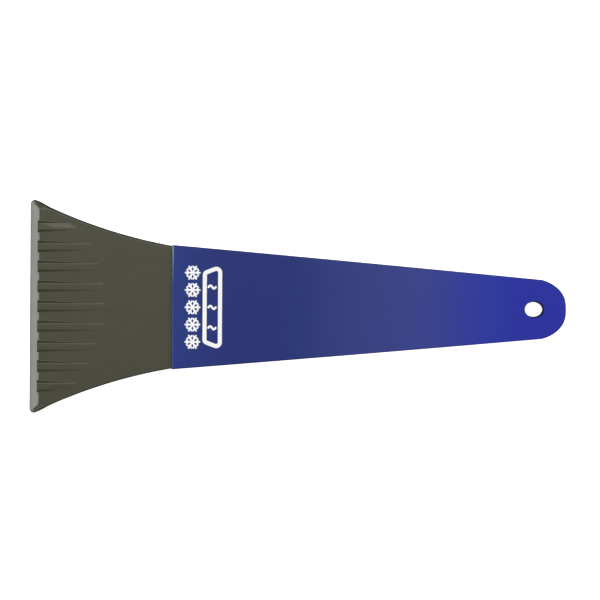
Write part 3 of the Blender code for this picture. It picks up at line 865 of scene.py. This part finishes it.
def stroke(path, width):
    """The outline of a line of that width with round ends along an open path, anticlockwise."""
    points = [Vector(point) for point in path]
    sides = ([], [])
    for i, point in enumerate(points):
        along = (points[min(i + 1, len(points) - 1)] - points[max(i - 1, 0)]).normalized()
        across = Vector((-along.y, along.x)) * width / 2
        sides[0].append(point - across)
        sides[1].append(point + across)
    caps = []
    for centre, start in ((points[-1], sides[0][-1]), (points[0], sides[1][0])):
        turns = [math.pi * i / INK_ROUND_STEPS for i in range(1, INK_ROUND_STEPS)]
        caps.append([centre + turned(start - centre, turn) for turn in turns])
    return [tuple(point) for point in sides[0] + caps[0] + sides[1][::-1] + caps[1]]


def make_ink(name, outline, material):
    """A flat film of ink just over the front cover's face."""
    ink_rides(add_solid(name, [(outline, INK_LOW_Z), (outline, INK_HIGH_Z)], material))


def ink_rides(piece):
    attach(piece, "root")


def flake_side():
    """Half of a snow crystal's arm along +X: its side with one branch, from the centre to the tip."""
    half, branch_half = FLAKE_STROKE / 2, BRANCH_STROKE / 2
    cos, sin = math.cos(BRANCH_LEAN), math.sin(BRANCH_LEAN)
    before = (half - branch_half * cos) / sin
    after = (half + branch_half * cos) / sin
    side = [(half / math.tan(math.pi / FLAKE_ARMS), half)]
    side.append((BRANCH_FORK - branch_half * sin + before * cos, half))
    for i in range(INK_ROUND_STEPS + 1):
        angle = BRANCH_LEAN + math.pi / 2 - math.pi * i / INK_ROUND_STEPS
        u = BRANCH_FORK + BRANCH_LENGTH * cos + branch_half * math.cos(angle)
        side.append((u, BRANCH_LENGTH * sin + branch_half * math.sin(angle)))
    side.append((BRANCH_FORK + branch_half * sin + after * cos, half))
    for i in range(INK_ROUND_STEPS // 2 + 1):
        angle = math.pi / 2 - math.pi * i / INK_ROUND_STEPS
        side.append((FLAKE_RADIUS - half + half * math.cos(angle), half * math.sin(angle)))
    return side


def flake_outline(centre_y):
    """A plain snow crystal with equal arms."""
    side = flake_side()
    arm = [(u, -v) for u, v in side] + [(u, v) for u, v in side[-2:0:-1]]
    outline = []
    for i in range(FLAKE_ARMS):
        spokes = [turned(Vector(point), 2 * math.pi / FLAKE_ARMS * i) for point in arm]
        outline += [(FLAKE_X + spoke.x, centre_y + spoke.y) for spoke in spokes]
    return outline


def glass_outline():
    """A windscreen seen from the front: a fan with rounded corners, its wide bowed side towards the far x."""
    near, far = GLASS_NEAR, GLASS_FAR
    narrow_half, wide_half = GLASS_HALVES
    corners = ((near, -narrow_half), (far, -wide_half), (far, wide_half), (near, narrow_half))
    corners = [Vector(corner) for corner in corners]
    points = []
    for i, here in enumerate(corners):
        before = (corners[i - 1] - here).normalized()
        after = (corners[(i + 1) % 4] - here).normalized()
        half_angle = before.angle(after) / 2
        reach = GLASS_CORNER / math.tan(half_angle)
        centre = here + (before + after).normalized() * GLASS_CORNER / math.sin(half_angle)
        start = here + before * reach - centre
        sweep = start.angle(here + after * reach - centre)
        for k in range(INK_ROUND_STEPS + 1):
            points.append(centre + turned(start, sweep * k / INK_ROUND_STEPS))
    return [(GLASS_X + point.x + GLASS_BOW * (1 - (point.y / wide_half) ** 2), point.y) for point in points]


def make_glass_mark(material):
    """A bold windscreen frame with wavy lines of warm air in it."""
    outer = glass_outline()
    inner = inset(outer, GLASS_STROKE)
    bm = bmesh.new()
    rings = []
    for outline, z in ((outer, INK_LOW_Z), (outer, INK_HIGH_Z), (inner, INK_HIGH_Z), (inner, INK_LOW_Z)):
        rings.append([bm.verts.new((x, y, z)) for x, y in outline])
    for ring, next_ring in zip(rings, rings[1:] + rings[:1]):
        for i in range(len(ring)):
            j = (i + 1) % len(ring)
            bm.faces.new((ring[i], ring[j], next_ring[j], next_ring[i]))
    ink_rides(add_object("mark_glass", bm, material))
    for number in range(WAVE_COUNT):
        centre_y = (number - (WAVE_COUNT - 1) / 2) * WAVE_PITCH
        path = []
        steps = 24
        for i in range(steps + 1):
            along = i / steps
            x = GLASS_X + WAVE_START + WAVE_LENGTH * along
            path.append((x, centre_y + WAVE_HEIGHT * math.sin(2 * math.pi * along)))
        make_ink(f"mark_wave_{number + 1}", stroke(path, WAVE_STROKE), material)


def make_mark(material):
    for number in range(FLAKE_COUNT):
        centre_y = (number - (FLAKE_COUNT - 1) / 2) * FLAKE_PITCH
        make_ink(f"mark_flake_{number + 1}", flake_outline(centre_y), material)
    make_glass_mark(material)


# ---- materials


NOISE_LOW, NOISE_HIGH = 0.3, 0.7  # what a noise's value mostly lies between

SMOKE_SHADES = ((0.0389, 0.0383, 0.0180), (0.0419, 0.0413, 0.0196))
SMOKE_ROUGHNESS = (0.29, 0.315)
SCRATCH_STOPS = ((0.62, 0.0), (0.72, 1.0))
WEAR_REACH = 30 * MM  # from the scraping edge
WEAR_COLOUR = (0.16, 0.16, 0.14)
WEAR_SHARE = 0.22
WEAR_ROUGHNESS = 0.18

# Along the handle, from its mouth (0) to its end (1): navy to royal blue, with a painted sheen mid-way and a
# painted lighter band at the mouth
HANDLE_TONE_AND_PAINTED_SHEEN = (
    (0.0, (0.0159, 0.0354, 0.1917)),
    (0.04, (0.0152, 0.0322, 0.1815)),
    (0.145, (0.0137, 0.0256, 0.1588)),
    (0.324, (0.0148, 0.0296, 0.1683)),
    (0.436, (0.0256, 0.0400, 0.1952)),
    (0.573, (0.0324, 0.0448, 0.2243)),
    (0.650, (0.0324, 0.0465, 0.2516)),
    (0.742, (0.0242, 0.0370, 0.2936)),
    (0.803, (0.0181, 0.0339, 0.3252)),
    (0.859, (0.0159, 0.0256, 0.3252)),
    (1.0, (0.0159, 0.0242, 0.3346)),
)
SHADE_WANDER = 0.03  # how far along the handle a shade strays
SPECKLE_STOPS = ((0.35, 0.97), (0.65, 1.03))
BLUE_ROUGHNESS_SPREAD = 0.035
# Painted shade inside the hang hole; a position is half the distance from its axis, in the hole's own half
# sizes
PAINTED_HOLE_SHADE_STOPS = ((0.5 * 1.02, 0.35), (0.5 * 1.10, 1.0))
# A pale highlight painted on the mouth's lip, in full at its edge and strongest towards its +Y end
LIP_PAINTED_HIGHLIGHT = (0.20, 0.245, 0.29)
LIP_HIGHLIGHT_FULL = 0.7 * LIP_ROLL_LENGTH

ZINC_SHADES = ((0.5, 0.51, 0.52), (0.62, 0.62, 0.6))
ZINC_ROUGHNESS = (0.28, 0.42)
INK_SHADES = ((0.84, 0.85, 0.86), (0.92, 0.92, 0.92))
INK_ROUGHNESS = (0.45, 0.6)


class Paint:
    """A Principled material and short ways to add nodes to it. Patterns are in the object's own space."""

    def __init__(self, name, roughness, metallic=0.0, specular=0.5):
        self.material = bpy.data.materials.new(name)
        self.material.use_nodes = True
        self.nodes = self.material.node_tree.nodes
        self.links = self.material.node_tree.links
        self.shader = self.nodes["Principled BSDF"]
        self.shader.inputs["Roughness"].default_value = roughness
        self.shader.inputs["Metallic"].default_value = metallic
        self.shader.inputs["Specular IOR Level"].default_value = specular
        self.coordinates = self.nodes.new("ShaderNodeTexCoord").outputs["Object"]
        self.relief = None

    def feed(self, socket, value):
        """Links a value that comes from another node, and sets a plain one."""
        if isinstance(value, bpy.types.NodeSocket):
            self.links.new(value, socket)
        else:
            socket.default_value = (*value, 1.0) if socket.type == "RGBA" else value

    def add(self, kind, output, inputs, **settings):
        """Adds a node with those inputs and settings, and gives back one output."""
        node = self.nodes.new("ShaderNode" + kind)
        for name, value in settings.items():
            setattr(node, name, value)
        for name, value in inputs.items():
            self.feed(node.inputs[name], value)
        return node.outputs[output]

    def noise(self, size, detail=3.0, roughness=0.5, stretch=(1, 1, 1)):
        """Noise whose features are about that size, in metres, times the stretch along each axis."""
        scale = [1 / (size * part) for part in stretch]
        place = self.add("Mapping", "Vector", {"Vector": self.coordinates, "Scale": scale})
        inputs = {"Vector": place, "Scale": 1.0, "Detail": detail, "Roughness": roughness}
        return self.add("TexNoise", "Fac", inputs)

    def ramp(self, value, stops, interpolation="LINEAR"):
        """Maps a value through (position, level or colour) stops."""
        node = self.nodes.new("ShaderNodeValToRGB")
        elements = node.color_ramp.elements
        node.color_ramp.interpolation = interpolation
        while len(elements) < len(stops):
            elements.new(0.5)
        for element, (position, level) in zip(elements, stops):
            element.position = position
            element.color = (*level, 1.0) if isinstance(level, tuple) else (level, level, level, 1.0)
        self.feed(node.inputs["Fac"], value)
        return node.outputs["Color"]

    def vary(self, noise, low, high):
        """Levels or colours that mostly run from low to high with a noise."""
        return self.ramp(noise, [(NOISE_LOW, low), (NOISE_HIGH, high)])

    def along(self, axis, low, high):
        """0 to 1 as the object's X, Y or Z goes from low to high."""
        place = self.add("SeparateXYZ", axis, {"Vector": self.coordinates})
        return self.add("MapRange", "Result", {"Value": place, "From Min": low, "From Max": high})

    def from_hang_hole(self):
        """0 on the hang hole's axis and 0.5 at its wall."""
        half_x, half_y = HANG_HOLE_HALF
        scale = (0.5 / half_x, 0.5 / half_y, 0.0)
        start = (-0.5 * HANG_HOLE_X / half_x, 0.0, 0.0)
        inputs = {"Vector": self.coordinates, "Scale": scale, "Location": start}
        place = self.add("Mapping", "Vector", inputs)
        return self.add("VectorMath", "Value", {0: place}, operation="LENGTH")

    def math(self, operation, a, b):
        return self.add("Math", "Value", {0: a, 1: b}, operation=operation)

    def blend(self, factor, a, b, mode="MIX"):
        """Mixes two colours; each is a socket or a plain colour."""
        node = self.nodes.new("ShaderNodeMix")
        node.data_type = "RGBA"
        node.blend_type = mode
        inputs = {socket.identifier: socket for socket in node.inputs}
        for name, value in (("Factor_Float", factor), ("A_Color", a), ("B_Color", b)):
            self.feed(inputs[name], value)
        return next(socket for socket in node.outputs if socket.identifier == "Result_Color")

    def bump(self, height, distance, strength):
        """Adds a layer of relief of that depth, in metres, over the earlier ones."""
        inputs = {"Height": height, "Distance": distance, "Strength": strength}
        if self.relief is not None:
            inputs["Normal"] = self.relief
        self.relief = self.add("Bump", "Normal", inputs)
        self.set("Normal", self.relief)

    def set(self, name, socket):
        self.links.new(socket, self.shader.inputs[name])


def smoke_plastic():
    """Olive-grey moulded plastic: satin with a fine grain, flow marks, and wear at the scraping edge."""
    paint = Paint("smoke_plastic_fine", roughness=0.3, specular=0.6)
    flow = paint.noise(size=9 * MM, detail=2.0, stretch=(2.2, 1.0, 1.0))
    scratches = paint.noise(size=0.35 * MM, detail=2.0, roughness=0.6, stretch=(34.0, 1.0, 1.0))
    near_edge = paint.along("X", EDGE_X + WEAR_REACH, EDGE_X)
    wear = paint.math("MULTIPLY", paint.ramp(scratches, SCRATCH_STOPS), near_edge)
    base = paint.vary(flow, *SMOKE_SHADES)
    paint.set("Base Color", paint.blend(paint.math("MULTIPLY", wear, WEAR_SHARE), base, WEAR_COLOUR))
    gloss = paint.vary(paint.noise(size=7 * MM, detail=1.0), *SMOKE_ROUGHNESS)
    paint.set("Roughness", paint.math("ADD", gloss, paint.math("MULTIPLY", wear, WEAR_ROUGHNESS)))
    paint.bump(paint.noise(size=0.35 * MM, detail=2.0), distance=0.006 * MM, strength=0.5)
    paint.bump(paint.noise(size=5 * MM, detail=1.0), distance=0.02 * MM, strength=0.4)
    paint.bump(scratches, distance=0.004 * MM, strength=0.4)
    return paint.material


def blue_plastic(name, shade, roughness, grain, painted_lip_highlight):
    """Blue moulded plastic that shades from navy at the mouth to royal blue at the end of the handle.

    A sheen mid-way and a lighter band at the mouth are painted into its colour. Painted shade darkens it
    inside the hang hole, and a pale highlight is painted on the mouth's lip towards its +Y end.
    """
    paint = Paint(name, roughness, specular=0.22)
    stray = paint.math("SUBTRACT", paint.noise(size=40 * MM, detail=1.0), 0.5)
    wander = paint.math("MULTIPLY", stray, SHADE_WANDER)
    place = paint.math("ADD", paint.along("X", MOUTH_X, END_X), wander)
    # the ramp holds the navy-to-royal-blue tone, a painted sheen mid-way and a painted lighter band at the
    # mouth
    stops = [(position, tuple(level * shade for level in colour)) for position, colour in HANDLE_TONE_AND_PAINTED_SHEEN]
    base = paint.ramp(place, stops, interpolation="CARDINAL")
    speckle = paint.ramp(paint.noise(size=1.2 * MM), SPECKLE_STOPS)
    base = paint.blend(1.0, base, speckle, "MULTIPLY")
    # painted shade: darker inside the hang hole
    base = paint.blend(1.0, base, paint.ramp(paint.from_hang_hole(), PAINTED_HOLE_SHADE_STOPS), "MULTIPLY")
    # painted highlight on the mouth's lip
    if painted_lip_highlight:
        edge = paint.along("X", MOUTH_X + LIP_ROLL_LENGTH, MOUTH_X + LIP_HIGHLIGHT_FULL)
        across = paint.math("POWER", paint.along("Y", LIP_ROLL_START_Y, MOUTH_HALF), 2.0)
        base = paint.blend(paint.math("MULTIPLY", edge, across), base, LIP_PAINTED_HIGHLIGHT)
    paint.set("Base Color", base)
    low, high = roughness - BLUE_ROUGHNESS_SPREAD, roughness + BLUE_ROUGHNESS_SPREAD
    paint.set("Roughness", paint.vary(paint.noise(size=3 * MM), low, high))
    paint.bump(paint.noise(size=0.3 * MM, detail=2.0), distance=grain, strength=0.6)
    paint.bump(paint.noise(size=7 * MM, detail=1.0), distance=0.02 * MM, strength=0.3)
    return paint.material


def zinc_steel():
    """Zinc-plated steel with a fine grain and a dull, slightly blotched plating."""
    paint = Paint("zinc_steel_fine", roughness=0.34, metallic=1.0)
    blotches = paint.noise(size=0.9 * MM)
    paint.set("Base Color", paint.vary(blotches, *ZINC_SHADES))
    paint.set("Roughness", paint.vary(blotches, *ZINC_ROUGHNESS))
    paint.bump(paint.noise(size=0.12 * MM, detail=2.0), distance=0.003 * MM, strength=0.6)
    return paint.material


def white_ink():
    """Pad-printed white ink: opaque, matt, with the faint mottle of a thin film."""
    paint = Paint("white_ink_fine", roughness=0.5)
    mottle = paint.noise(size=0.6 * MM)
    paint.set("Base Color", paint.vary(mottle, *INK_SHADES))
    paint.set("Roughness", paint.vary(mottle, *INK_ROUGHNESS))
    paint.bump(mottle, distance=0.004 * MM, strength=0.5)
    return paint.material


# ---- stage, light and camera

CAMERA_HEIGHT = 1.4  # over the plane where the covers part
SENSOR_WIDTH = 36.0
VIEW_WIDTH = 0.310  # how much of the object's plane the picture spans
VIEW_CENTRE = (1.5 * MM, 4.1 * MM)
CAMERA_ROLL = math.radians(0.36)
FLOOR_RADIUS = 4.0
WALL_HEIGHT = 1.2
STAGE_STEPS = 96
STAGE_ROUGHNESS = 0.9
FLOOR_COLOUR, FLOOR_GLOW = 0.85, 0.93
WALL_COLOUR, WALL_GLOW = 0.0, 1.0

# Name, azimuth (degrees from +X towards +Y), elevation, width and height in degrees of arc, radiance
SOFTBOXES = (
    ("edge_softbox", 178.0, 24.0, 60.0, 22.0, 6.2),
    ("back_softbox", 92.0, 65.0, 40.0, 32.0, 2.1),
    ("overhead_softbox", 180.0, 85.0, 46.0, 44.0, 0.2),
    ("right_softbox", 0.0, 42.0, 50.0, 28.0, 1.35),
    ("front_softbox", 270.0, 42.0, 60.0, 20.0, 1.2),
)
LIGHT_DISTANCE = 2.0
WORLD_LEVEL = 0.27
WORLD_LEVEL_BELOW = 0.07
HORIZON_BLUR = 0.1  # how far below the horizon the surround has turned dark


def make_lights():
    for name, azimuth, elevation, wide, high, radiance in SOFTBOXES:
        lamp = bpy.data.lights.new(name, "AREA")
        lamp.shape = "RECTANGLE"
        lamp.size = 2 * LIGHT_DISTANCE * math.tan(math.radians(wide / 2))
        lamp.size_y = 2 * LIGHT_DISTANCE * math.tan(math.radians(high / 2))
        lamp.energy = radiance * math.pi * lamp.size * lamp.size_y
        azimuth, elevation = math.radians(azimuth), math.radians(elevation)
        level = math.cos(elevation)
        direction = Vector((math.cos(azimuth) * level, math.sin(azimuth) * level, math.sin(elevation)))
        light = bpy.data.objects.new(name, lamp)
        light.location = direction * LIGHT_DISTANCE
        light.rotation_mode = "QUATERNION"
        light.rotation_quaternion = direction.to_track_quat("Z", "Y")
        light.visible_camera = False
        bpy.context.scene.collection.objects.link(light)


def make_world():
    """A grey surround that is darker below the horizon, where steep walls mirror it."""
    world = bpy.data.worlds.new("studio")
    world.use_nodes = True
    nodes, links = world.node_tree.nodes, world.node_tree.links
    split = nodes.new("ShaderNodeSeparateXYZ")
    links.new(nodes.new("ShaderNodeTexCoord").outputs["Generated"], split.inputs["Vector"])
    level = nodes.new("ShaderNodeMapRange")
    spread = {"From Min": -HORIZON_BLUR, "From Max": 0.0, "To Min": WORLD_LEVEL_BELOW, "To Max": WORLD_LEVEL}
    for name, value in spread.items():
        level.inputs[name].default_value = value
    links.new(split.outputs["Z"], level.inputs["Value"])
    background = nodes["Background"]
    background.inputs["Color"].default_value = (1.0, 1.0, 1.0, 1.0)
    links.new(level.outputs["Result"], background.inputs["Strength"])
    bpy.context.scene.world = world


def stage_material(name, colour, glow):
    material = bpy.data.materials.new(name)
    material.use_nodes = True
    shader = material.node_tree.nodes["Principled BSDF"]
    shader.inputs["Base Color"].default_value = (colour, colour, colour, 1.0)
    shader.inputs["Roughness"].default_value = STAGE_ROUGHNESS
    shader.inputs["Specular IOR Level"].default_value = 0.0
    shader.inputs["Emission Color"].default_value = (1.0, 1.0, 1.0, 1.0)
    shader.inputs["Emission Strength"].default_value = glow
    return material


def make_stage():
    """A white floor, and a white wall all round behind it. Neither is seen in the object's gloss."""
    ring = circle(0.0, 0.0, FLOOR_RADIUS, STAGE_STEPS)
    bm = bmesh.new()
    bm.faces.new([bm.verts.new((x, y, 0.0)) for x, y in ring])
    floor = add_object("studio_floor", bm, stage_material("studio_floor", FLOOR_COLOUR, FLOOR_GLOW))
    bm = bmesh.new()
    low = [bm.verts.new((x, y, 0.0)) for x, y in ring]
    high = [bm.verts.new((x, y, WALL_HEIGHT)) for x, y in ring]
    for i in range(STAGE_STEPS):
        j = (i + 1) % STAGE_STEPS
        bm.faces.new((low[j], low[i], high[i], high[j]))
    wall = add_object("studio_wall", bm, stage_material("studio_wall", WALL_COLOUR, WALL_GLOW))
    for piece in (floor, wall):
        piece.visible_diffuse = False
        piece.visible_glossy = False
        piece.visible_shadow = False


def make_camera():
    data = bpy.data.cameras.new("camera")
    data.sensor_width = SENSOR_WIDTH
    data.lens = SENSOR_WIDTH * CAMERA_HEIGHT / VIEW_WIDTH
    camera = bpy.data.objects.new("camera", data)
    camera.location = (*VIEW_CENTRE, PARTING_Z + CAMERA_HEIGHT)
    camera.rotation_euler = (0.0, 0.0, CAMERA_ROLL)
    bpy.context.scene.collection.objects.link(camera)
    bpy.context.scene.camera = camera


def main():
    make_camera()
    make_world()
    make_stage()
    make_lights()
    bpy.context.scene.view_settings.view_transform = "Standard"

    make_head(smoke_plastic())
    front = blue_plastic("blue_plastic_fine", shade=1.0, roughness=0.36, grain=0.004 * MM, painted_lip_highlight=True)
    cover = Cover("handle_front", 1, front)
    make_cover(cover, FRONT_POST_RADIUS, LIP_HEIGHT + GAP, BLIND_BORE_DEPTH)
    back = blue_plastic("blue_plastic_back_fine", shade=0.92, roughness=0.44, grain=0.012 * MM, painted_lip_highlight=False)
    cover = Cover("handle_back", -1, back)
    make_cover(cover, BACK_POST_RADIUS, GAP, PARTING_Z)
    make_screws(zinc_steel())
    make_mark(white_ink())


main()
